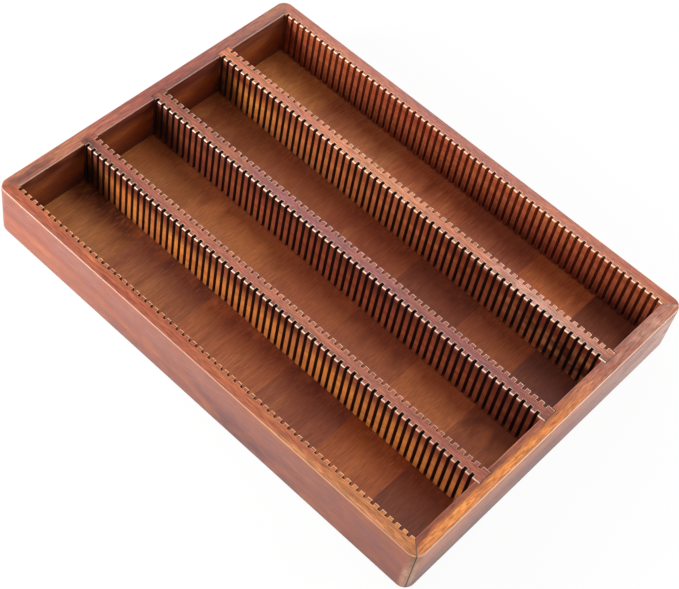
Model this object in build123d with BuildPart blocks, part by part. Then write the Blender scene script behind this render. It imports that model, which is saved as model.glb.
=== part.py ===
"""Wooden tray with comb-slotted dividers, which keeps rows of rimmed discs standing on edge.

Four mitred rails hold a base panel of glued staves in a groove. Three slotted dividers
drop into housings in the end rails and can be lifted straight out.
Millimetres. X runs along the lanes, Y across them and Z up. The origin is on the table
under the middle of the tray.
"""
import os

from build123d import *

# Comb slots, the same on every slotted face
slot_pitch = 6.0
slot_width = 2.4
divider_slot_depth = 3.2
rail_slot_depth = 2.8
first_slot = 2.3
least_last_tooth = 2.0

# Lanes and the stock they are made from
inner_length = 366.5
outer_lane = 58.2
middle_lane = 55.5
divider_thickness = 12.0
rail_thickness = 11.5
lane_depth = 39.1

# Base panel, glued up from staves and held in a groove round the rails
panel_thickness = 4.0
panel_lift = 2.2
groove_depth = 5.0
panel_edge_gap = 0.5
stave_widths = [70.2, 71.6, 75.4, 57.0, 51.0]

# Housings that the divider ends drop into
housing_depth = 3.3
housing_end_gap = 0.2
housing_side_gap = 0.15

# Rounding of the frame
corner_radius = 8.0
top_easing = 1.0
foot_easing = 3.0

# Blind splines across the mitres
spline_thickness = 3.0
spline_width = 8.0
spline_setback = 6.2
spline_cover = 4.0

# The frame's outline and heights, worked out from the sizes above
divider_pitch = middle_lane + divider_thickness
inner_width = 2 * (outer_lane + divider_pitch) + divider_thickness
outer_length = inner_length + 2 * rail_thickness
outer_width = inner_width + 2 * rail_thickness
floor_height = panel_lift + panel_thickness
tray_height = floor_height + lane_depth

# Places along the tray of the slots, and across it of the dividers
slot_run = inner_length - first_slot - slot_width / 2 - least_last_tooth
slot_count = int(slot_run / slot_pitch) + 1
slot_places = [first_slot - inner_length / 2 + index * slot_pitch for index in range(slot_count)]
divider_places = {
    "front_divider": -divider_pitch,
    "middle_divider": 0.0,
    "back_divider": divider_pitch,
}

# Corners of the frame, as the side of the tray they are on along X and Y
corners = {
    "front_left": (-1, -1),
    "front_right": (1, -1),
    "back_right": (1, 1),
    "back_left": (-1, 1),
}
spline_height = lane_depth - 2 * spline_cover

pieces = {}


def cut_comb(face_y, depth):
    """Cut a row of slots into the plan, to one depth from a face that lies along X."""
    with Locations(*[(x, face_y) for x in slot_places]):
        Rectangle(slot_width, 2 * depth, mode=Mode.SUBTRACT)


def cut_housings(face_x):
    """Cut the divider housings into the plan, from a face that lies along Y."""
    with Locations(*[(face_x, y) for y in divider_places.values()]):
        width = divider_thickness + 2 * housing_side_gap
        Rectangle(2 * housing_depth, width, mode=Mode.SUBTRACT)


def mitre_plane(right, back):
    """Give the plane of a corner's spline: at the inner corner, with X out along the mitre."""
    foot = (right * inner_length / 2, back * inner_width / 2, floor_height + spline_cover)
    return Plane(foot, x_dir=(right, back, 0), z_dir=(0, 0, 1))


def draw_spline():
    """Draw the plan of a spline, square across the mitre."""
    with Locations((spline_setback, 0)):
        Rectangle(spline_thickness, spline_width)


def make_rail(first, last, along, outward, shape_inner_face):
    """Make the rail from one corner of the frame to the next.

    The plan is the frame's rounded ring, kept between the two mitre lines.
    """
    ends = [corners[first], corners[last]]
    inside = [(x * inner_length / 2, y * inner_width / 2) for x, y in ends]
    outside = [(x * outer_length / 2, y * outer_width / 2) for x, y in reversed(ends)]
    with BuildPart() as rail:
        with BuildSketch():
            RectangleRounded(outer_length, outer_width, corner_radius)
            Rectangle(inner_length, inner_width, mode=Mode.SUBTRACT)
            Polygon(*inside, *outside, align=None, mode=Mode.INTERSECT)
            shape_inner_face()
        extrude(amount=tray_height)

        # Ease the outer face and its corner arcs, at the top and at the foot
        for level, radius in ((-1, top_easing), (0, foot_easing)):
            edges = rail.edges().group_by(Axis.Z)[level]
            outer_edge = edges.filter_by(along).sort_by(outward)[-1]
            fillet(edges.filter_by(GeomType.CIRCLE) + [outer_edge], radius)

        # Groove for the base panel
        with BuildSketch(Plane.XY.offset(panel_lift)):
            Rectangle(inner_length + 2 * groove_depth, inner_width + 2 * groove_depth)
        extrude(amount=panel_thickness, mode=Mode.SUBTRACT)

        # Seats for the splines
        for right, back in ends:
            with BuildSketch(mitre_plane(right, back)):
                draw_spline()
            extrude(amount=spline_height, mode=Mode.SUBTRACT)
    return rail


# Front and back rails, slotted along their inner faces
pieces["front_rail"] = make_rail(
    "front_left", "front_right", Axis.X, -Axis.Y, lambda: cut_comb(-inner_width / 2, rail_slot_depth)
)
pieces["back_rail"] = make_rail(
    "back_right", "back_left", Axis.X, Axis.Y, lambda: cut_comb(inner_width / 2, rail_slot_depth)
)

# End rails, plain but for the housings
pieces["left_end_rail"] = make_rail(
    "back_left", "front_left", Axis.Y, -Axis.X, lambda: cut_housings(-inner_length / 2)
)
pieces["right_end_rail"] = make_rail(
    "front_right", "back_right", Axis.Y, Axis.X, lambda: cut_housings(inner_length / 2)
)

# Splines, hidden across the four mitres
for corner, (right, back) in corners.items():
    with BuildPart() as spline:
        with BuildSketch(mitre_plane(right, back)):
            draw_spline()
        extrude(amount=spline_height)
    pieces[f"{corner}_spline"] = spline

# Base panel: staves glued edge to edge, left to right, the last one taking what is left
panel_length = inner_length + 2 * (groove_depth - panel_edge_gap)
panel_width = inner_width + 2 * (groove_depth - panel_edge_gap)
last_stave = panel_length - sum(stave_widths)
stave_start = -panel_length / 2
for number, width in enumerate(stave_widths + [last_stave], start=1):
    with BuildPart() as stave:
        with BuildSketch(Plane.XY.offset(panel_lift)):
            with Locations((stave_start + width / 2, 0)):
                Rectangle(width, panel_width)
        extrude(amount=panel_thickness)
    pieces[f"base_stave_{number}"] = stave
    stave_start += width

# Dividers, slotted on both faces and resting on the base panel
divider_length = inner_length + 2 * (housing_depth - housing_end_gap)
for name, place in divider_places.items():
    with BuildPart() as divider:
        with BuildSketch(Plane.XY.offset(floor_height)):
            with Locations((0, place)):
                Rectangle(divider_length, divider_thickness)
            for face in (-1, 1):
                cut_comb(place + face * divider_thickness / 2, divider_slot_depth)
        extrude(amount=lane_depth)
    pieces[name] = divider

os.makedirs("parts", exist_ok=True)
for name, piece in pieces.items():
    piece.part.label = name
    export_step(piece.part, f"parts/{name}.step")
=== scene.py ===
# %% [markdown]
# # A slotted wooden tray
#
# The tray holds rows of rimmed discs on edge. Four mitred rails stand round a base of glued
# staves, and three slotted dividers drop into housings in the end rails. This lesson dresses
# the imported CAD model: the CAD says where each part is, and Blender adds the eased edges, the
# saw cuts, the stained wood, the light and the camera.
#
# A CAD export could be shown as it is, but its edges are knife sharp and its solids have one
# flat colour. Real wood catches light on every edge that a hand has sanded, so each rail and
# divider is made again here, in the same place, with those edges.

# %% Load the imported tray
import math

import bmesh
import bpy
from mathutils import Matrix, Vector


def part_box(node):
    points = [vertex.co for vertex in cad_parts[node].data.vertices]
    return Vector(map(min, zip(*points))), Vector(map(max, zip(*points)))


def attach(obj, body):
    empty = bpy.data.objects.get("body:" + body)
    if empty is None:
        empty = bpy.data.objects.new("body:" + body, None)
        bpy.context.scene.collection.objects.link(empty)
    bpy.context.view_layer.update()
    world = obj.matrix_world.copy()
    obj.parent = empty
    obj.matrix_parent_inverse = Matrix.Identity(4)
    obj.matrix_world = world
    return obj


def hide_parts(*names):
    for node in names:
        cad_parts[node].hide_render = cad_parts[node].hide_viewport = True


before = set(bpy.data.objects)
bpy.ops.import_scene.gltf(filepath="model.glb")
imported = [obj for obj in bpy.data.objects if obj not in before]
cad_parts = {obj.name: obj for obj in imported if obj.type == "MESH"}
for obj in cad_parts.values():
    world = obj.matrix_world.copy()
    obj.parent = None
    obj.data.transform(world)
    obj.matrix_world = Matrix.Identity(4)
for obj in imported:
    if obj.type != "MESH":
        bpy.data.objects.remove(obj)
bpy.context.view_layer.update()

print("nodes:", sorted(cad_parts))

# %% [markdown]
# ## Sizes
#
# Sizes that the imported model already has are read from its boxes, so they can't disagree with
# it. The boxes don't show the slots, the housings, the eased edges or the groove that holds the
# base, so those few are written here, in metres.

# %% Sizes of the rails, dividers and slots
front_rail_low, front_rail_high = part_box("front_rail")
left_rail_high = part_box("left_end_rail")[1]
stave_low, stave_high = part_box("base_stave_1")

rail_height = front_rail_high.z
rail_thickness = front_rail_high.y - front_rail_low.y
inner_half_width = -front_rail_high.y
inner_half_length = -left_rail_high.x
panel_lift = stave_low.z
floor_height = stave_high.z
groove_depth = 0.0050

slot_pitch = 0.0060
slot_width = 0.0024
rail_slot_depth = 0.0028
divider_slot_depth = 0.0032
first_slot = 0.0023
slot_count = 61

housing_pitch = 0.0675
housing_width = 0.0123
housing_depth = 0.0033

corner_radius = 0.0080
top_easing = 0.0010
foot_easing = 0.0030
arris_easing = 0.0007

print(f"rails {rail_height * 1000:.1f} mm high and {rail_thickness * 1000:.1f} mm thick")
print(f"lanes {inner_half_length * 2000:.1f} mm long over {inner_half_width * 2000:.1f} mm")

# %% [markdown]
# ## Small helpers for node trees
#
# Both the saw cuts and the wood are node trees. Wiring them takes the same three moves each
# time: add a node, set its options, feed its inputs. One helper does the three, which keeps
# the trees short enough to read.

# %% Helpers that add nodes
def add_node(tree, kind, options=None, feeds=None):
    """Add a node, set its options, and feed its inputs with values or other nodes' outputs."""
    node = tree.nodes.new(kind)
    for option, value in (options or {}).items():
        setattr(node, option, value)
    for socket, value in (feeds or {}).items():
        if isinstance(value, bpy.types.NodeSocket):
            tree.links.new(value, node.inputs[socket])
        else:
            node.inputs[socket].default_value = value
    return node


def calculate(tree, operation, *values):
    """Add one Math node and give its result."""
    node = add_node(tree, "ShaderNodeMath", {"operation": operation}, dict(enumerate(values)))
    return node.outputs[0]


def add_inputs(tree, inputs):
    """Give a tree its named inputs, and return the outputs of its Group Input node."""
    for name, kind in inputs.items():
        tree.interface.new_socket(name, in_out="INPUT", socket_type=kind)
    return tree.nodes.new("NodeGroupInput").outputs


# %% [markdown]
# ## The saw pass
#
# On the real tray every slot is one pass of a saw, at a steady pitch. Modelling the slots one
# by one would be hundreds of copies to keep in step. Geometry Nodes can do what the saw does:
# stand a blade at each place in a row, and take the blades out of the board.
#
# The same tree serves all the cuts. A rail gets one row, a divider gets a second row on its
# other face, and an end rail gets three wide cuts for the housings. The tree also marks the
# sawn faces, because stain soaks into them and they look almost black.

# %% Build the saw tree
saw_tree = bpy.data.node_groups.new("saw_row", "GeometryNodeTree")
saw = add_inputs(saw_tree, {
    "Board": "NodeSocketGeometry",
    "Slot Count": "NodeSocketInt",
    "First Slot": "NodeSocketFloat",
    "Slot Pitch": "NodeSocketFloat",
    "Slot Width": "NodeSocketFloat",
    "Slot Depth": "NodeSocketFloat",
    "Sawn Face": "NodeSocketFloat",
    "Second Row": "NodeSocketFloat",
    "Blade Height": "NodeSocketFloat",
    "Finish": "NodeSocketMaterial",
})
saw_tree.interface.new_socket("Sawn Board", in_out="OUTPUT", socket_type="NodeSocketGeometry")

row_start = add_node(saw_tree, "ShaderNodeCombineXYZ", feeds={
    0: saw["First Slot"],
    1: saw["Sawn Face"],
})
row_step = add_node(saw_tree, "ShaderNodeCombineXYZ", feeds={0: saw["Slot Pitch"]})
row = add_node(saw_tree, "GeometryNodeMeshLine", {"mode": "OFFSET"}, {
    "Count": saw["Slot Count"],
    "Start Location": row_start.outputs[0],
    "Offset": row_step.outputs[0],
})
blade_size = add_node(saw_tree, "ShaderNodeCombineXYZ", feeds={
    0: saw["Slot Width"],
    1: calculate(saw_tree, "MULTIPLY", saw["Slot Depth"], 2.0),
    2: saw["Blade Height"],
})
blade = add_node(saw_tree, "GeometryNodeMeshCube", feeds={"Size": blade_size.outputs[0]})
blades = add_node(saw_tree, "GeometryNodeInstanceOnPoints", feeds={
    "Points": row.outputs[0],
    "Instance": blade.outputs[0],
})
row_shift = add_node(saw_tree, "ShaderNodeCombineXYZ", feeds={1: saw["Second Row"]})
far_blades = add_node(saw_tree, "GeometryNodeTransform", feeds={
    "Geometry": blades.outputs[0],
    "Translation": row_shift.outputs[0],
})
has_second_row = calculate(saw_tree, "GREATER_THAN", saw["Second Row"], 0.0)
second_blades = add_node(saw_tree, "GeometryNodeSwitch", {"input_type": "GEOMETRY"}, {
    "Switch": has_second_row,
    "True": far_blades.outputs[0],
})
all_blades = add_node(saw_tree, "GeometryNodeJoinGeometry", feeds={0: blades.outputs[0]})
saw_tree.links.new(second_blades.outputs[0], all_blades.inputs[0])
boolean_options = {"operation": "DIFFERENCE", "solver": "EXACT"}
cut = add_node(saw_tree, "GeometryNodeMeshBoolean", boolean_options, {
    "Mesh 1": saw["Board"],
    "Mesh 2": all_blades.outputs[0],
})

# %% [markdown]
# A face is sawn when it stands upright, and its middle is deeper than the board's face but no
# deeper than the slot, each by a tenth to spare. The answer goes on each face as a named attribute,
# which the wood material reads later.

# %% Mark the sawn faces and close the tree
face_place = add_node(saw_tree, "ShaderNodeSeparateXYZ", feeds={
    0: saw_tree.nodes.new("GeometryNodeInputPosition").outputs[0],
})
face_normal = add_node(saw_tree, "ShaderNodeSeparateXYZ", feeds={
    0: saw_tree.nodes.new("GeometryNodeInputNormal").outputs[0],
})
from_near = calculate(saw_tree, "SUBTRACT", face_place.outputs[1], saw["Sawn Face"])
from_far = calculate(saw_tree, "SUBTRACT", from_near, saw["Second Row"])
depth_here = calculate(
    saw_tree, "MINIMUM",
    calculate(saw_tree, "ABSOLUTE", from_near),
    calculate(saw_tree, "ABSOLUTE", from_far),
)
slot_share = calculate(saw_tree, "DIVIDE", depth_here, saw["Slot Depth"])
shallowest_share = 0.1
deepest_share = 1.1
in_slot = calculate(
    saw_tree, "MULTIPLY",
    calculate(saw_tree, "GREATER_THAN", slot_share, shallowest_share),
    calculate(saw_tree, "LESS_THAN", slot_share, deepest_share),
)
most_tilt = 0.5
tilt = calculate(saw_tree, "ABSOLUTE", face_normal.outputs[2])
upright = calculate(saw_tree, "LESS_THAN", tilt, most_tilt)
sawn = calculate(saw_tree, "MULTIPLY", in_slot, upright)
attribute_options = {"data_type": "FLOAT", "domain": "FACE"}
marked = add_node(saw_tree, "GeometryNodeStoreNamedAttribute", attribute_options, {
    "Geometry": cut.outputs[0],
    "Name": "sawn",
    "Value": sawn,
})
whole = add_node(saw_tree, "GeometryNodeRealizeInstances", feeds={0: marked.outputs[0]})
finished = add_node(saw_tree, "GeometryNodeSetMaterial", feeds={
    "Geometry": whole.outputs[0],
    "Material": saw["Finish"],
})
add_node(saw_tree, "NodeGroupOutput", feeds={0: finished.outputs[0]})
print("saw tree nodes:", len(saw_tree.nodes))

# %% [markdown]
# ## Working on a piece
#
# A piece goes through the shop in steps: a blank is made, the saw runs over it, its edges are
# eased, and it is set in its place. Each step below is one function. Modifiers do the work,
# and are then settled into a plain mesh, because a finished piece should carry its own shape.

# %% Helpers that work on a piece
def make_piece(name, bm):
    """Turn a bmesh into an object at the origin, with its faces outward."""
    bmesh.ops.recalc_face_normals(bm, faces=bm.faces)
    mesh = bpy.data.meshes.new(name)
    bm.to_mesh(mesh)
    bm.free()
    piece = bpy.data.objects.new(name, mesh)
    bpy.context.scene.collection.objects.link(piece)
    return piece


def settle(piece):
    """Replace a piece's mesh by what its modifiers make of it, and take the modifiers off."""
    depsgraph = bpy.context.evaluated_depsgraph_get()
    made = bpy.data.meshes.new_from_object(piece.evaluated_get(depsgraph), depsgraph=depsgraph)
    piece.modifiers.clear()
    piece.data = made
    return piece


def run_saw(piece, **settings):
    """Run the saw tree over a piece, with settings named as its inputs are."""
    modifier = piece.modifiers.new("saw", "NODES")
    modifier.node_group = saw_tree
    settings["Blade_Height"] = 4 * rail_height
    for item in saw_tree.interface.items_tree:
        setting = item.name.replace(" ", "_")
        if setting in settings:
            modifier[item.identifier] = settings[setting]
    return settle(piece)


def box_bmesh(low, high):
    """Make a box between two corners."""
    bm = bmesh.new()
    middle = (low + high) / 2
    size = high - low
    place = Matrix.Translation(middle) @ Matrix.Diagonal((*size, 1))
    bmesh.ops.create_cube(bm, size=1, matrix=place)
    return bm


# %% [markdown]
# ## Wood
#
# The tray is a warm, red-brown stained hardwood under a satin coat. What the eye reads as wood
# is a few things laid over each other: slow clouds of tone, long streaks where the growth
# rings run out on the face, fine fibres, and short dark pores. All of them are stretched along
# the grain.
#
# A photograph of wood would repeat and would need to be wrapped round each piece. Noise in
# object coordinates is solid: it runs through the board as real grain does, so the streaks on
# a face carry on over its edge. One node group holds the recipe, and each board feeds it with
# its own tones and seed.

# %% The stained wood group
def tone(code):
    """Turn a colour written as six hex digits into the linear values that a node takes."""
    channels = [int(code[i:i + 2], 16) / 255 for i in (0, 2, 4)]
    linear = [c / 12.92 if c <= 0.04045 else ((c + 0.055) / 1.055) ** 2.4 for c in channels]
    return (*linear, 1.0)


def stretched_noise(tree, place, seed, along, across, detail):
    """Noise with its own number of cells a metre along the grain and across it."""
    scaled = add_node(tree, "ShaderNodeVectorMath", {"operation": "MULTIPLY"}, {
        0: place,
        1: (along, across, across),
    })
    noise = add_node(tree, "ShaderNodeTexNoise", {"noise_dimensions": "4D"}, {
        "Vector": scaled.outputs[0],
        "W": seed,
        "Scale": 1.0,
        "Detail": detail,
        "Roughness": 0.55,
    })
    return noise.outputs[0]


def remap(tree, value, low, high, to_low=0.0, to_high=1.0):
    """Stretch a value from one range to another, and stop it at both ends."""
    node = add_node(tree, "ShaderNodeMapRange", feeds={
        "Value": value,
        "From Min": low,
        "From Max": high,
        "To Min": to_low,
        "To Max": to_high,
    })
    return node.outputs[0]


def mix_colours(tree, share, first, second, blend="MIX"):
    """Mix two colours by a share from 0 to 1."""
    node = add_node(tree, "ShaderNodeMix", {"data_type": "RGBA", "blend_type": blend}, {
        0: share,
        6: first,
        7: second,
    })
    return node.outputs[2]


band_numbers = ("First", "Second", "Third", "Fourth", "Fifth", "Sixth")
band_names = [f"{number} Band" for number in band_numbers]
wood_tree = bpy.data.node_groups.new("stained_wood", "ShaderNodeTree")
wood = add_inputs(wood_tree, {
    "Place": "NodeSocketVector",
    "Seed": "NodeSocketFloat",
    "Deep": "NodeSocketColor",
    "Body": "NodeSocketColor",
    "Bright": "NodeSocketColor",
    "Worn": "NodeSocketColor",
    "Speckle": "NodeSocketFloat",
    "Streaks": "NodeSocketFloat",
    "Gathered": "NodeSocketColor",
    **{f"{band} Colour": "NodeSocketColor" for band in band_names},
    **{f"{band} Middle": "NodeSocketVector" for band in band_names},
    **{f"{band} Reach": "NodeSocketVector" for band in band_names},
})
for name, kind in {"Colour": "Color", "Roughness": "Float", "Height": "Float"}.items():
    wood_tree.interface.new_socket(name, in_out="OUTPUT", socket_type="NodeSocket" + kind)

clouds = stretched_noise(wood_tree, wood["Place"], wood["Seed"], along=7, across=24, detail=2)

sway_reach = 0.02
sway = stretched_noise(wood_tree, wood["Place"], wood["Seed"], along=4, across=11, detail=1)
sideways = calculate(wood_tree, "SUBTRACT", sway, 0.5)
sideways = calculate(wood_tree, "MULTIPLY", sideways, sway_reach)
swayed = add_node(wood_tree, "ShaderNodeVectorMath", {"operation": "ADD"}, {
    0: wood["Place"],
    1: add_node(wood_tree, "ShaderNodeCombineXYZ", feeds={1: sideways, 2: sideways}).outputs[0],
}).outputs[0]
streak_place = add_node(wood_tree, "ShaderNodeVectorMath", {"operation": "MULTIPLY"}, {
    0: swayed,
    1: add_node(wood_tree, "ShaderNodeCombineXYZ", feeds={
        0: wood["Streaks"],
        1: 1.0,
        2: 1.0,
    }).outputs[0],
}).outputs[0]
rings = stretched_noise(wood_tree, streak_place, wood["Seed"], along=1, across=150, detail=3)
fibres = stretched_noise(wood_tree, wood["Place"], wood["Seed"], along=50, across=650, detail=3)
flecks = stretched_noise(wood_tree, wood["Place"], wood["Seed"], along=150, across=1400, detail=2)

pores_from = 0.58
pores_full = 0.68
pores = stretched_noise(wood_tree, wood["Place"], wood["Seed"], along=160, across=1500, detail=1)
pores = remap(wood_tree, pores, pores_from, pores_full)

cloud_share = 0.40
ring_share = 0.32
fibre_share = 0.28
shade = calculate(
    wood_tree, "ADD",
    calculate(wood_tree, "MULTIPLY", clouds, cloud_share),
    calculate(
        wood_tree, "ADD",
        calculate(wood_tree, "MULTIPLY", rings, ring_share),
        calculate(wood_tree, "MULTIPLY", fibres, fibre_share),
    ),
)

# The three tones lie at these places on the scale of shade
deep_at = 0.36
body_at = 0.50
bright_at = 0.64
lower_half = remap(wood_tree, shade, deep_at, body_at)
upper_half = remap(wood_tree, shade, body_at, bright_at)
shaded = mix_colours(wood_tree, lower_half, wood["Deep"], wood["Body"])
plain = mix_colours(wood_tree, upper_half, shaded, wood["Bright"])

# %% [markdown]
# A board is seldom one colour from end to end. It may hold a band of golden sapwood, a band of
# dark heartwood, or a place where the stain was rubbed pale, and each fades out. Some bands
# are painted light and shade instead: shadows, shade at a foot, highlights and sheen. A band is
# a soft box in the board, with a middle and a reach, and the same sway as the rings bends it. A
# board has up to six bands, each laid over the ones before it.
#
# Painted shade also lies on the base, in a strip on both sides of each divider's foot, where
# the dividers shade the floor. The dividers stand at an even pitch, so one strip that repeats at
# that pitch serves them all, and falls along the front and back rails too. Its colour darkens
# what is under it, and white leaves it out on the other boards.
#
# The top of each board is the sanded edge of it, and takes the stain unevenly, so the flecks
# are stronger there.

# %% Bands
full_within = 0.3


def soft_box(tree, place, middle, reach):
    """Give 1 near a middle, fading to 0 at the reach along each of the three directions."""
    off = add_node(tree, "ShaderNodeVectorMath", {"operation": "SUBTRACT"}, {0: place, 1: middle})
    off = off.outputs[0]
    off = add_node(tree, "ShaderNodeVectorMath", {"operation": "DIVIDE"}, {0: off, 1: reach})
    off = off.outputs[0]
    off = add_node(tree, "ShaderNodeVectorMath", {"operation": "ABSOLUTE"}, {0: off})
    sides = add_node(tree, "ShaderNodeSeparateXYZ", feeds={0: off.outputs[0]}).outputs
    inside = [remap(tree, side, full_within, 1.0, 1.0, 0.0) for side in sides]
    return calculate(tree, "MULTIPLY", calculate(tree, "MULTIPLY", inside[0], inside[1]), inside[2])


thinnest_band = 0.45
blotches = stretched_noise(wood_tree, wood["Place"], wood["Seed"], along=45, across=90, detail=2)
uneven = remap(wood_tree, blotches, 0.36, 0.56, thinnest_band, 1.0)
banded = plain
for band in band_names:
    share = soft_box(wood_tree, swayed, wood[band + " Middle"], wood[band + " Reach"])
    share = calculate(wood_tree, "MULTIPLY", share, uneven)
    banded = mix_colours(wood_tree, share, banded, wood[band + " Colour"])

# %% The painted shade at the dividers' feet
# Both are distances from a divider's middle towards the front, up to the next divider
fading_in_front = (0.013, 0.029)
growing_behind_next = (0.046, 0.062)
strip_waver = 0.02

along = add_node(wood_tree, "ShaderNodeSeparateXYZ", feeds={0: wood["Place"]}).outputs[0]
waver = calculate(wood_tree, "SUBTRACT", blotches, 0.5)
wavering = calculate(wood_tree, "MULTIPLY_ADD", waver, strip_waver, along)
from_divider = calculate(wood_tree, "WRAP", wavering, housing_pitch, 0.0)
foot_shade_share = calculate(
    wood_tree, "MAXIMUM",
    remap(wood_tree, from_divider, *fading_in_front, 1.0, 0.0),
    remap(wood_tree, from_divider, *growing_behind_next, 0.0, 1.0),
)
# The strip's colour is a painted shade that multiplies the wood
foot_shade = mix_colours(wood_tree, foot_shade_share, (1, 1, 1, 1), wood["Gathered"])
banded = mix_colours(wood_tree, 1.0, banded, foot_shade, "MULTIPLY")

# %% Flecks and pores
top_speckle = 1.5
pore_share = 0.5

top_mark = add_node(wood_tree, "ShaderNodeAttribute", {"attribute_name": "top"}).outputs["Fac"]
speckle = calculate(wood_tree, "MULTIPLY_ADD", top_mark, top_speckle, wood["Speckle"])
fleck = calculate(wood_tree, "SUBTRACT", flecks, 0.5)
fleck_gain = calculate(wood_tree, "MULTIPLY_ADD", fleck, speckle, 1.0)
flecked = add_node(wood_tree, "ShaderNodeVectorMath", {"operation": "SCALE"}, {
    0: banded,
    "Scale": fleck_gain,
}).outputs[0]
pore_mix = calculate(wood_tree, "MULTIPLY", pores, pore_share)
pored = mix_colours(wood_tree, pore_mix, flecked, wood["Deep"])

# %% The worn and highlighted edges and the dark cuts
least_worn_and_highlight = 0.6
sawn_share = 0.88
seam_and_foot_shade_share = 0.85
cut_tone = tone("140200")

arris_mark = add_node(wood_tree, "ShaderNodeAttribute", {"attribute_name": "arris"}).outputs["Fac"]
sawn_mark = add_node(wood_tree, "ShaderNodeAttribute", {"attribute_name": "sawn"}).outputs["Fac"]
seam_and_foot_shade_mark = add_node(wood_tree, "ShaderNodeAttribute", {"attribute_name": "seam"}).outputs["Fac"]
# The arrises are painted lighter: partly worn wood, partly a painted highlight.
worn_and_highlight_share = remap(wood_tree, clouds, 0.3, 0.6, least_worn_and_highlight, 1.0)
worn_and_highlight_share = calculate(wood_tree, "MULTIPLY", arris_mark, worn_and_highlight_share)
worn_and_highlight = mix_colours(wood_tree, worn_and_highlight_share, pored, wood["Worn"])
dark_share = calculate(
    wood_tree, "MAXIMUM",
    calculate(wood_tree, "MULTIPLY", sawn_mark, sawn_share),
    calculate(wood_tree, "MULTIPLY", seam_and_foot_shade_mark, seam_and_foot_shade_share),
)
coloured = mix_colours(wood_tree, dark_share, worn_and_highlight, cut_tone)

# %% Roughness and height, and the group's end
smoothest = 0.34
roughest = 0.48
sawn_roughness = 0.35
fibre_height = 0.35

roughness = calculate(
    wood_tree, "ADD",
    remap(wood_tree, fibres, 0.3, 0.7, smoothest, roughest),
    calculate(wood_tree, "MULTIPLY", sawn_mark, sawn_roughness),
)
raised = calculate(wood_tree, "MULTIPLY", fibres, fibre_height)
height = calculate(wood_tree, "SUBTRACT", raised, pores)
add_node(wood_tree, "NodeGroupOutput", feeds={0: coloured, 1: roughness, 2: height})
print("wood tree nodes:", len(wood_tree.nodes))


# %% A function that finishes one board
along_x = 0.0
along_y = math.radians(90)

# A band that a board doesn't use lies far above it
no_band = ("000000", (0.0, 0.0, 9.0), (1.0, 1.0, 1.0))


def finish_wood(
    name, seed, deep, body, bright, bands=(), grain=along_x, speckle=0.9, streaks=2.0, worn_and_highlight="FFD8B8",
    foot_shade="FFFFFF", coat=0.1, sheen=0.35,
):
    """Make one board's wood: its seed, its tones, its bands, its grain direction and its coat.

    A band is its colour, its middle and its reach: along the grain, across the board and up.
    On a board that lies along Y, the places along the grain count towards the front.
    """
    material = bpy.data.materials.new(name)
    material.use_nodes = True
    tree = material.node_tree
    shader = tree.nodes["Principled BSDF"]
    turned = add_node(tree, "ShaderNodeMapping", feeds={
        "Vector": tree.nodes.new("ShaderNodeTexCoord").outputs["Object"],
        "Rotation": (0.0, 0.0, grain),
    })
    board = add_node(tree, "ShaderNodeGroup", {"node_tree": wood_tree}, {
        "Place": turned.outputs[0],
        "Seed": seed,
        "Deep": tone(deep),
        "Body": tone(body),
        "Bright": tone(bright),
        "Worn": tone(worn_and_highlight),
        "Speckle": speckle,
        "Streaks": streaks,
        "Gathered": tone(foot_shade),
    })
    all_bands = (*bands, *[no_band] * len(band_names))
    for band, (colour, middle, reach) in zip(band_names, all_bands):
        board.inputs[band + " Colour"].default_value = tone(colour)
        board.inputs[band + " Middle"].default_value = middle
        board.inputs[band + " Reach"].default_value = reach
    bump = add_node(tree, "ShaderNodeBump", feeds={
        "Strength": 0.5,
        "Distance": 0.00015,
        "Height": board.outputs["Height"],
    })
    tree.links.new(board.outputs["Colour"], shader.inputs["Base Color"])
    tree.links.new(board.outputs["Roughness"], shader.inputs["Roughness"])
    tree.links.new(bump.outputs[0], shader.inputs["Normal"])
    shader.inputs["Specular IOR Level"].default_value = sheen
    shader.inputs["Coat Weight"].default_value = coat
    shader.inputs["Coat Roughness"].default_value = 0.22
    return material


# %% [markdown]
# ## Easing the edges
#
# Every edge that a hand can reach is sanded round. A Bevel on all sharp edges would also open
# a wide groove at the mitres and where the floor meets the rails, so each edge gets its own
# weight: full for a free edge, half for a slot's, less at a mitre or a housing, and none where
# another part covers it.
#
# After the bevel, the narrow new faces at the top are marked as arrises. The wood is painted
# lighter there: partly the stain rubbed thin, partly a painted highlight on the eased edge.
# Each long arris has its own share of it, and the short ones at the slots and ends have one
# share between them.
#
# The flat top faces are marked too. So are the mitres, which are dark lines, and the housings,
# which are half as dark. The rails' foot is half as dark as well, as a painted contact shadow
# along the floor. Light falls into the slots that open to the back, so their marks are made
# weaker: painted light.

# %% Tell where the mitres and housings are
side_slack = 0.0003
end_slack = 0.0005


def from_mitre(point):
    """Give how far a point is from the nearest mitre, at any corner of the frame."""
    return abs((abs(point.x) - inner_half_length) - (abs(point.y) - inner_half_width)) / math.sqrt(2)


def in_housing(point):
    """Tell whether a point is where a divider's end meets an end rail."""
    from_middle = abs(point.y - housing_pitch * round(point.y / housing_pitch))
    beside = from_middle < housing_width / 2 + side_slack
    within = abs(point.y) < 1.5 * housing_pitch and beside
    into_rail = abs(point.x) - inner_half_length
    return within and side_slack < into_rail < housing_depth + end_slack


# %% Ease the free edges
sharp_from = math.radians(40)
cover_slack = 0.0002
mitre_slack = 0.00001
housing_edge = 0.2
slot_edge = 0.5
free_edge = 1.0


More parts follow.
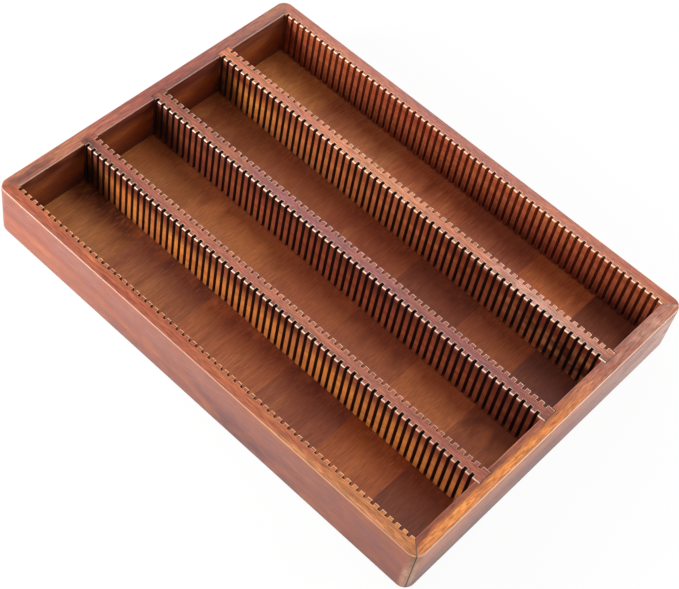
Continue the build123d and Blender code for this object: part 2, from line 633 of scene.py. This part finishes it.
def ease_edges(piece, long_edges, mitre_weight=None):
    """Bevel the free outward edges of a piece, and mark its arrises, its seams and its painted foot
    shade.

    A rail gives the function that weighs its mitres, and a divider, which has none, doesn't.
    """
    bm = bmesh.new()
    bm.from_mesh(piece.data)
    weight = bm.edges.layers.float.new("bevel_weight_edge")
    sawn = bm.faces.layers.float["sawn"]
    mitred = mitre_weight is not None
    covered_from = panel_lift - cover_slack
    covered_to = floor_height + cover_slack
    for edge in bm.edges:
        middle = (edge.verts[0].co + edge.verts[1].co) / 2
        sharp = len(edge.link_faces) == 2 and edge.calc_face_angle_signed() > sharp_from
        covered = mitred and covered_from < middle.z < covered_to
        if covered or not sharp:
            continue
        if mitred and max(from_mitre(vertex.co) for vertex in edge.verts) < mitre_slack:
            edge[weight] = mitre_weight(middle)
        elif in_housing(middle):
            edge[weight] = housing_edge
        elif any(face[sawn] > 0.5 for face in edge.link_faces):
            edge[weight] = slot_edge
        else:
            edge[weight] = free_edge
    bm.to_mesh(piece.data)
    bm.free()
    for polygon in piece.data.polygons:
        polygon.use_smooth = True
    bevel = piece.modifiers.new("ease", "BEVEL")
    bevel.limit_method = "WEIGHT"
    bevel.width = arris_easing
    bevel.segments = 2
    bevel.use_clamp_overlap = False
    bevel.harden_normals = True
    settle(piece)
    mark_faces(piece, long_edges, mitred)
    return piece


# %% Mark the arrises, the tops, the seams and the painted foot shade
top_zone = 0.0012
slanted_from = 0.30
flat_from = 0.97
short_arris_wear_and_highlight = 0.6
seam_half_width = 0.0005
foot_shade_line = 0.9 * foot_easing
mitre_seam = 1.0
faint_seam_and_foot_shade = 0.5
back_slot_share = 0.35


def mark_faces(piece, long_edges, mitred):
    """Write on each face how far it is a lighter arris, worn and with a painted highlight, a flat
    top, and a dark seam, which at the foot is a painted shade.

    The long edges are an axis, and how much each is lightened, by its place on that axis.
    """
    mesh = piece.data
    arris = mesh.attributes.new("arris", "FLOAT", "FACE")
    seam = mesh.attributes.new("seam", "FLOAT", "FACE")
    top = mesh.attributes.new("top", "FLOAT", "FACE")
    sawn = mesh.attributes["sawn"].data
    axis, wears_and_highlights = long_edges
    middle_y = sum(vertex.co.y for vertex in mesh.vertices) / len(mesh.vertices)
    for polygon in mesh.polygons:
        centre = polygon.center
        at_top = centre.z > rail_height - top_zone
        slanted = at_top and slanted_from < polygon.normal.z < flat_from
        in_joint = slanted and in_housing(centre)
        wear_and_highlight = short_arris_wear_and_highlight
        for place, long_wear_and_highlight in wears_and_highlights.items():
            if abs(centre[axis] - place) < top_easing:
                wear_and_highlight = long_wear_and_highlight
        arris.data[polygon.index].value = wear_and_highlight if slanted and not in_joint else 0.0
        top.data[polygon.index].value = 1.0 if at_top and polygon.normal.z > flat_from else 0.0
        if mitred and from_mitre(centre) < seam_half_width:
            seam.data[polygon.index].value = mitre_seam
        # Housings get a half dark seam, and the rails' foot a painted contact shadow of the same
        # share
        elif in_joint or (mitred and centre.z < foot_shade_line):
            seam.data[polygon.index].value = faint_seam_and_foot_shade
        # Slots that open to the back get a weaker dark mark: painted light, as light falls into them
        if axis == 1 and centre.y > middle_y:
            sawn[polygon.index].value *= back_slot_share


# %% [markdown]
# ## Rails
#
# A rail is a stick with a groove for the base, rounded at the outside and cut at 45 degrees at
# both ends. It could be cut out of a block, but its shape is really one profile carried round
# the outline, so the blank is woven from it: rows of points at a few heights, each pulled in
# by what the rounding takes off there. All four rails are made lying along X, with the outer
# face to the front, and are then turned to their side of the tray.

# %% Weave a rail blank
arc_steps = 6
foot_steps = 6
top_steps = 4


def rounding_levels():
    """Give the heights of the outer face's points, and how far the rounding pulls each in."""
    levels = []
    for step in range(foot_steps + 1):
        angle = math.radians(90) * step / foot_steps
        levels.append((foot_easing * (1 - math.cos(angle)), foot_easing * (1 - math.sin(angle))))
    for step in range(top_steps + 1):
        angle = math.radians(90) * step / top_steps
        height = rail_height - top_easing * (1 - math.sin(angle))
        levels.append((height, top_easing * (1 - math.cos(angle))))
    return levels


def make_rail_blank(name, half_length, inner_face):
    """Make a mitred rail along X, with its outer face towards -Y and a groove in its inner face."""
    bm = bmesh.new()
    centre_x = half_length + rail_thickness - corner_radius
    centre_y = -inner_face - rail_thickness + corner_radius
    rows = []
    for height, pulled_in in rounding_levels():
        row = []
        # Each end turns through the half corner that this side of the mitre has
        for side, start in ((-1, 225), (1, 270)):
            for step in range(arc_steps + 1):
                angle = math.radians(start + 45 * step / arc_steps)
                reach = corner_radius - pulled_in
                x = side * centre_x + reach * math.cos(angle)
                y = centre_y + reach * math.sin(angle)
                row.append(bm.verts.new((x, y, height)))
        rows.append(row)
    for lower, upper in zip(rows, rows[1:]):
        for i in range(len(lower) - 1):
            bm.faces.new((lower[i], lower[i + 1], upper[i + 1], upper[i]))

    groove = [
        (0.0, rail_height), (0.0, floor_height), (groove_depth, floor_height),
        (groove_depth, panel_lift), (0.0, panel_lift), (0.0, 0.0),
    ]
    left = [bm.verts.new((-half_length - d, -inner_face - d, z)) for d, z in groove]
    right = [bm.verts.new((half_length + d, -inner_face - d, z)) for d, z in groove]
    for i in range(len(groove) - 1):
        bm.faces.new((left[i], left[i + 1], right[i + 1], right[i]))
    bm.faces.new(rows[-1] + [right[0], left[0]])
    bm.faces.new(rows[0] + [right[-1], left[-1]])
    bm.faces.new([row[0] for row in rows] + left)
    bm.faces.new([row[-1] for row in rows] + right)
    return make_piece(name, bm)


# %% [markdown]
# Each rail then gets its saw cuts, its turn to its own side, the blind seats for the splines
# that hold the mitres, and its eased edges. The seats are a few millimetres shorter than the
# splines, whose ends stay shut in the wood. The near right mitre has opened a little on the
# real tray, so its seam is eased more than the others and shows as a dark line.

# %% Functions that make a rail
spline_nodes = ["front_left_spline", "front_right_spline", "back_right_spline", "back_left_spline"]
seat_size = Vector((0.0030, 0.0080, 0.0252))
open_mitre = 0.5
tight_mitre = 0.2


def cut_spline_seats(piece):
    """Take a seat out of a rail at the middle of each of the CAD's splines."""
    bm = bmesh.new()
    for node in spline_nodes:
        low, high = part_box(node)
        middle = (low + high) / 2
        turn = math.atan2(middle.y, middle.x)
        turn = math.radians(45 + 90 * math.floor(turn / math.radians(90)))
        place = Matrix.Translation(middle) @ Matrix.Rotation(turn, 4, "Z")
        bmesh.ops.create_cube(bm, size=1, matrix=place @ Matrix.Diagonal((*seat_size, 1)))
    seats = make_piece("seats", bm)
    cut = piece.modifiers.new("seats", "BOOLEAN")
    cut.operation = "DIFFERENCE"
    cut.solver = "EXACT"
    cut.object = seats
    settle(piece)
    bpy.data.objects.remove(seats)


def weigh_mitre(point):
    """Ease the near right mitre by half, and the other three a little."""
    return open_mitre if point.x > 0 and point.y < 0 else tight_mitre


def make_rail(name, turn, half_length, inner_face, finish, long_edges, **cuts):
    """Make a rail: blank, saw cuts, turn, spline seats, eased edges."""
    piece = make_rail_blank(name, half_length, inner_face)
    run_saw(piece, Sawn_Face=-inner_face, Finish=finish, **cuts)
    piece.data.transform(Matrix.Rotation(math.radians(turn), 4, "Z"))
    cut_spline_seats(piece)
    ease_edges(piece, long_edges, weigh_mitre)
    return piece


# %% [markdown]
# The four rails come from different boards. The front one is purplish brown along its outer
# face, which is partly a painted sheen; painted shade darkens its foot towards its right end,
# and a painted highlight runs along its outer top edge there. It is pale where the near corner
# turns, partly worn and partly a painted highlight. The left one is golden half way up its
# inner face and dark above. The right one is pale along its outer side, where its outer arris
# is lightened by wear and a painted highlight, golden on top in its near half, and dark there
# at its inner edge; painted shade darkens its foot in the near half, and it too is pale at the
# near corner, partly a painted highlight. The back one has no bands.

# %% Stain the rails
front_wood = finish_wood("front_rail_wood", 1.3, "7F331F", "9C5434", "BC7A40", [
    # These two purplish bands on the outer face are partly wood tone, partly a painted sheen
    ("74403A", (0.20, -0.1442, 0.018), (0.55, 0.0040, 0.040)),
    ("8A5648", (-0.10, -0.1442, 0.038), (0.36, 0.0040, 0.022)),
    # Painted shade at the foot towards the right end
    ("4E1C12", (0.26, -0.1442, 0.002), (0.36, 0.0040, 0.022)),
    # A painted highlight along the outer top edge towards the right
    ("BC7C4C", (0.13, -0.1422, 0.0453), (0.09, 0.0020, 0.006)),
    # Pale at the near corner: partly wear, partly a painted highlight
    ("CC9878", (0.1915, -0.1405, 0.022), (0.005, 0.0050, 0.026)),
], worn_and_highlight="F8C08C")
back_wood = finish_wood("back_rail_wood", 4.7, "7A2E1C", "A25032", "BE7040", coat=0.25, sheen=0.5)
left_wood = finish_wood("left_rail_wood", 8.2, "6B2C22", "894435", "A56D48", [
    ("BE6A30", (0.0, -0.1832, 0.024), (0.40, 0.0060, 0.016)),
    ("5A2010", (0.0, -0.1832, 0.0418), (0.40, 0.0022, 0.0120)),
    ("5C2C22", (0.125, -0.1890, 0.0448), (0.040, 0.0050, 0.010)),
], grain=along_y, coat=0.2, sheen=0.5)
right_wood = finish_wood("right_rail_wood", 11.9, "692619", "8B3E2A", "B26C40", [
    ("BC7A62", (0.02, 0.1970, 0.0438), (0.40, 0.0060, 0.022)),
    ("C29480", (-0.17, 0.1900, 0.018), (0.17, 0.0150, 0.045)),
    # Painted shade at the foot in the near half
    ("5A1808", (0.15, 0.1960, 0.002), (0.30, 0.0100, 0.022)),
    ("D8843E", (0.07, 0.1900, 0.0453), (0.13, 0.0060, 0.010)),
    ("6A3020", (0.12, 0.1848, 0.0453), (0.15, 0.0038, 0.006)),
    # Pale at the near corner: partly wear, partly a painted highlight
    ("D0A080", (0.1405, 0.1925, 0.022), (0.005, 0.0050, 0.026)),
], grain=along_y)

# %% Make the four rails
first_front = first_slot - inner_half_length
last_front = first_front + (slot_count - 1) * slot_pitch
comb = dict(Slot_Count=slot_count, Slot_Pitch=slot_pitch, Slot_Width=slot_width)
housings = dict(
    Slot_Count=3, First_Slot=-housing_pitch, Slot_Pitch=housing_pitch,
    Slot_Width=housing_width, Slot_Depth=housing_depth,
)

# After its wood comes the axis across a rail, and how much each long arris is lightened by wear and
# a painted highlight
rails = {
    "front_rail": make_rail(
        "front_rail_piece", 0, inner_half_length, inner_half_width, front_wood,
        (1, {-inner_half_width: 1.6, -inner_half_width - rail_thickness: 0.4}),
        First_Slot=first_front, Slot_Depth=rail_slot_depth, **comb,
    ),
    "back_rail": make_rail(
        "back_rail_piece", 180, inner_half_length, inner_half_width, back_wood,
        (1, {inner_half_width: 1.0}),
        First_Slot=-last_front, Slot_Depth=rail_slot_depth, **comb,
    ),
    "right_end_rail": make_rail(
        "right_end_rail_piece", 90, inner_half_width, inner_half_length, right_wood,
        (0, {inner_half_length: 0.1, inner_half_length + rail_thickness: 0.8}), **housings,
    ),
    "left_end_rail": make_rail(
        "left_end_rail_piece", -90, inner_half_width, inner_half_length, left_wood,
        (0, {-inner_half_length: 0.3, -inner_half_length - rail_thickness: 0.1}), **housings,
    ),
}
for node, piece in rails.items():
    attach(piece, "tray")
    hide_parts(node)
    print(node, "faces:", len(piece.data.polygons))

# %% [markdown]
# ## Dividers
#
# A divider is a plain board with a row of slots down each face, the slots of one row opposite
# those of the other. The board is a box the size of the CAD node; the saw tree makes both rows
# in one run, and every free edge is eased.
#
# The front faces are what shows most. All three are darker along the top, and the first teeth
# at their left ends are almost black: darker wood with the left end rail's shadow painted over
# it. The front and back ones are golden low down, and the middle one is dark towards both ends.
# The middle and back ones carry a mauve band on their tops, which is a painted sheen.

# %% Stain the dividers
divider_woods = {
    "front_divider": finish_wood("front_divider_wood", 21.4, "772D1D", "904A33", "A8623C", [
        ("D07E38", (0.00, -0.0735, 0.018), (0.36, 0.0060, 0.024)),
        ("501E0C", (-0.07, -0.0735, 0.0438), (0.24, 0.0050, 0.0140)),
        # Almost black at the left end: darker wood with the left end rail's shadow painted over it
        ("200804", (-0.192, -0.0735, 0.018), (0.048, 0.0060, 0.028)),
        ("050100", (-0.190, -0.0735, 0.012), (0.030, 0.0080, 0.034)),
    ], speckle=1.5, coat=0.2, sheen=0.45),
    "middle_divider": finish_wood("middle_divider_wood", 27.9, "5A1F14", "803A22", "98502C", [
        # Dark at the left end: darker wood with the left end rail's shadow painted over it
        ("180402", (-0.20, -0.0060, 0.034), (0.125, 0.0060, 0.036)),
        ("4C1A0C", (0.20, -0.0060, 0.024), (0.11, 0.0050, 0.040)),
        ("48180E", (-0.06, -0.0060, 0.0438), (0.34, 0.0050, 0.0140)),
        # A mauve band on the top: a painted sheen
        ("803E3C", (0.05, 0.0000, 0.0453), (0.50, 0.0200, 0.0020)),
        # Almost black low at the left end: the left end rail's shadow painted over darker wood
        ("040100", (-0.190, -0.0060, 0.010), (0.036, 0.0080, 0.034)),
    ], speckle=1.5, coat=0.22, sheen=0.45),
    "back_divider": finish_wood("back_divider_wood", 33.1, "82341F", "AC5C38", "CC8450", [
        ("D08238", (-0.12, 0.0615, 0.023), (0.16, 0.0060, 0.022)),
        ("3A1004", (0.17, 0.0615, 0.030), (0.13, 0.0060, 0.040)),
        ("5E200E", (0.00, 0.0615, 0.0438), (0.60, 0.0050, 0.0150)),
        ("5E2008", (0.02, 0.0615, 0.034), (0.12, 0.0060, 0.022)),
        # Almost black at the left end: darker wood with the left end rail's shadow painted over it
        ("1A0803", (-0.192, 0.0615, 0.014), (0.038, 0.0080, 0.026)),
        # A mauve band on the top towards the right: a painted sheen
        ("B8806C", (0.13, 0.0675, 0.0453), (0.08, 0.0200, 0.0020)),
    ], speckle=1.5, coat=0.22, sheen=0.45),
}

# %% Make the three dividers
long_arris_wear_and_highlight = 0.9

for node, finish in divider_woods.items():
    low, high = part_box(node)
    piece = make_piece(node + "_piece", box_bmesh(low, high))
    run_saw(
        piece, Sawn_Face=low.y, Second_Row=high.y - low.y, First_Slot=first_front,
        Slot_Depth=divider_slot_depth, Finish=finish, **comb,
    )
    ease_edges(piece, (1, {low.y: long_arris_wear_and_highlight, high.y: long_arris_wear_and_highlight}))
    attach(piece, node)
    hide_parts(node)
    print(node, "faces:", len(piece.data.polygons))

# %% [markdown]
# ## Base staves
#
# The base is glued from six staves, and what shows is a smooth floor whose tone jumps at each
# glue line. The CAD's staves have the right shape, so they stay, and each only gets its own
# wood, with the grain across the tray.
#
# A stave runs through all four lanes, and its tone differs from lane to lane, partly as painted
# light and shade for how much light reaches each lane. After its deep, body and bright tones,
# its row gives the tones of the second and third lane, counted from the front, and the darker
# one at the front divider's foot, which is painted shade.

# %% Finish the base staves
stave_tones = {
    "base_stave_1": ("B26B3B", "D2844D", "E79D57", "C16F3B", "9B502B", "6E3013"),
    "base_stave_2": ("AB603D", "CD7D50", "DE935C", "E1884E", "B1613A", "824737"),
    "base_stave_3": ("AD5B3B", "D1794D", "EB9455", "C76F45", "A95535", "8F472A"),
    "base_stave_4": ("944D35", "B46445", "C6764E", "C16C45", "914932", "813E27"),
    "base_stave_5": ("AB5A36", "CE7344", "E38D51", "D67D4A", "B15F3C", "A5521A"),
    "base_stave_6": ("7D412D", "975339", "A5603F", "BA683F", "854A3C", "8C4013"),
}
for seed, (node, codes) in enumerate(stave_tones.items(), start=40):
    *tones, second_lane, third_lane, front_foot_shade = codes
    middle = (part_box(node)[0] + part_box(node)[1]) / 2
    # The lane tones are partly painted light and shade; the third band is painted shade at the front
    # divider's foot
    finish = finish_wood(node + "_wood", seed * 1.7, *tones, [
        (second_lane, (0.034, middle.x, floor_height), (0.050, 0.080, 0.020)),
        (third_lane, (-0.034, middle.x, floor_height), (0.055, 0.080, 0.020)),
        (front_foot_shade, (0.078, middle.x, floor_height), (0.024, 0.080, 0.020)),
    ], grain=along_y, speckle=1.0, streaks=16.0, foot_shade="B3998B", coat=0.0, sheen=0.3)
    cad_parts[node].data.materials.clear()
    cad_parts[node].data.materials.append(finish)
print("staves finished:", len(stave_tones))

# %% [markdown]
# ## Splines
#
# The splines are shut inside the mitres and never show. They keep their CAD shape and get a
# pale unstained wood, so that they look right if the tray is ever taken apart on screen.

# %% Finish the splines
pale_wood = finish_wood("spline_wood", 3.9, "A88860", "C4A67C", "D6BC94")
for node in spline_nodes:
    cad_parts[node].data.materials.clear()
    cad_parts[node].data.materials.append(pale_wood)
print("splines finished:", len(spline_nodes))

# %% [markdown]
# ## Floor, light and camera
#
# The tray stands on white, in soft studio light. The floor is pale and keeps the tray's
# shadow; to the camera most of it glows plain white, which no lamp has to do, so the wood
# isn't washed out.

# %% Lay the floor
floor_white = (0.88, 0.88, 0.88, 1)
floor_drop = 0.0002
glow_share = 0.93


def fade_for_camera(tree, lit, share):
    """Mix a lit shader with a plain white glow that only the camera and reflections see."""
    light_path = tree.nodes.new("ShaderNodeLightPath").outputs
    seen = calculate(tree, "MAXIMUM", light_path["Is Camera Ray"], light_path["Is Glossy Ray"])
    seen = calculate(tree, "MAXIMUM", seen, light_path["Is Transmission Ray"])
    glow = add_node(tree, "ShaderNodeEmission", feeds={"Color": (1, 1, 1, 1), "Strength": 1.0})
    return add_node(tree, "ShaderNodeMixShader", feeds={
        0: calculate(tree, "MULTIPLY", seen, share),
        1: lit,
        2: glow.outputs[0],
    }).outputs[0]


floor_bm = bmesh.new()
bmesh.ops.create_grid(floor_bm, x_segments=1, y_segments=1, size=6.0)
floor = make_piece("floor", floor_bm)
floor.data.transform(Matrix.Translation((0, 0, -floor_drop)))
floor_material = bpy.data.materials.new("floor_white")
floor_material.use_nodes = True
floor_nodes = floor_material.node_tree
floor_shader = floor_nodes.nodes["Principled BSDF"]
floor_shader.inputs["Base Color"].default_value = floor_white
floor_shader.inputs["Roughness"].default_value = 0.7
floor_surface = fade_for_camera(floor_nodes, floor_shader.outputs[0], glow_share)
floor_nodes.links.new(floor_surface, floor_nodes.nodes["Material Output"].inputs["Surface"])
floor.data.materials.append(floor_material)

# %% [markdown]
# Four soft square lights hang over and round the tray, all turned to its middle. The overhead
# one fills the lanes. The one at the back gives the tops their sheen and throws the shadows to
# the front.
# The low one at the front left reaches the front rail and the dividers' front faces, and the
# one at the right gives the right rail's outer face its pale sheen. The world fills in evenly,
# and looks brighter to the camera than it lights.

# %% Light the tray
world_fill = 0.32

world = bpy.data.worlds.new("studio")
bpy.context.scene.world = world
world.use_nodes = True
sky = world.node_tree
light_path = sky.nodes.new("ShaderNodeLightPath").outputs
seen = calculate(sky, "MAXIMUM", light_path["Is Camera Ray"], light_path["Is Glossy Ray"])
background = sky.nodes["Background"]
background.inputs["Color"].default_value = (1, 1, 1, 1)
brightness = remap(sky, seen, 0.0, 1.0, world_fill, 1.0)
sky.links.new(brightness, background.inputs["Strength"])


def hang_light(name, place, size, power):
    """Hang a square soft light at a place, turned towards the middle of the tray."""
    light = bpy.data.lights.new(name, "AREA")
    light.size = size
    light.energy = power
    lamp = bpy.data.objects.new(name, light)
    lamp.location = place
    lamp.rotation_euler = (-Vector(place)).to_track_quat("-Z", "Y").to_euler()
    bpy.context.scene.collection.objects.link(lamp)


hang_light("overhead_light", (0.35, 0.05, 1.40), size=0.6, power=3.8)
hang_light("back_light", (-0.60, 1.30, 1.25), size=0.9, power=6.0)
hang_light("front_left_light", (-0.62, -0.70, 0.42), size=0.3, power=14.2)
hang_light("right_light", (1.00, 0.80, 0.65), size=0.5, power=8.6)
print("lights:", [light.name for light in bpy.data.lights])

# %% [markdown]
# The camera stands where the photograph was taken from: in front of the tray, to its right,
# well above it, and rolled. Its place and its two side directions came from fitting the
# tray's corners and slot rows to the picture.

# %% Set the camera
camera_place = Vector((0.35917, -0.55694, 0.87919))
camera_right = Vector((0.722568, 0.679623, 0.126526))
camera_up = Vector((-0.609087, 0.539316, 0.581508))
camera_back = camera_right.cross(camera_up)

camera_data = bpy.data.cameras.new("camera")
camera_data.lens = 81.578
camera_data.sensor_width = 36.0
camera_data.shift_x = 0.0241
camera_data.clip_start = 0.05
camera_data.clip_end = 50.0
camera = bpy.data.objects.new("camera", camera_data)
camera_turn = Matrix((camera_right, camera_up, camera_back)).transposed().to_4x4()
camera.matrix_world = Matrix.Translation(camera_place) @ camera_turn
bpy.context.scene.collection.objects.link(camera)
bpy.context.scene.camera = camera
bpy.context.scene.view_settings.view_transform = "Standard"
print(f"camera {camera_place.length:.2f} m from the middle of the tray")
